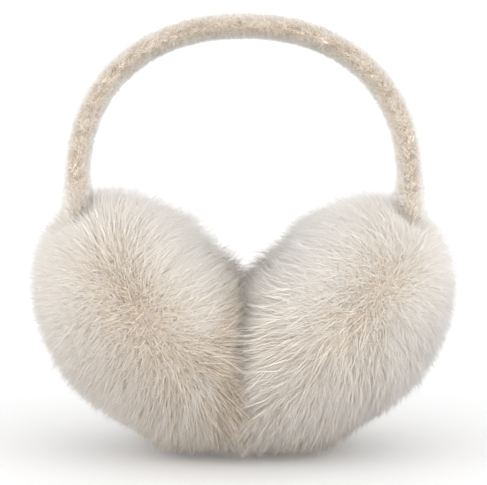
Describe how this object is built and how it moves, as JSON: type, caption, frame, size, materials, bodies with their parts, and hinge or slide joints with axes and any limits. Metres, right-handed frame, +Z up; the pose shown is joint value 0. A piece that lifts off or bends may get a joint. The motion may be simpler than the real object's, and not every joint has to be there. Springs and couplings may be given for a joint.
{
  "type": "pair of fur earmuffs on a headband",
  "caption": "Arched plush-covered headband with a deep fur ear pad at each end, which press together and stand on their lower rims.",
  "frame": {"origin": "on the surface that the pads stand on, under the middle of the pair", "axes": "+X side to side across the pads, +Y front to back, +Z up through the crown of the headband"},
  "size_m": [0.1712, 0.1198, 0.1752],
  "materials": {
    "plush": "short dense warm beige plush, matt",
    "fur": "deep soft cream faux fur with a browner underfur, matt",
    "ear_lining": "short beige-brown plush, matt"
  },
  "bodies": {
    "root": {"headband": "plush", "left_fur": "fur", "right_fur": "fur", "left_ear_lining": "ear_lining", "right_ear_lining": "ear_lining"}
  },
  "joints": []
}
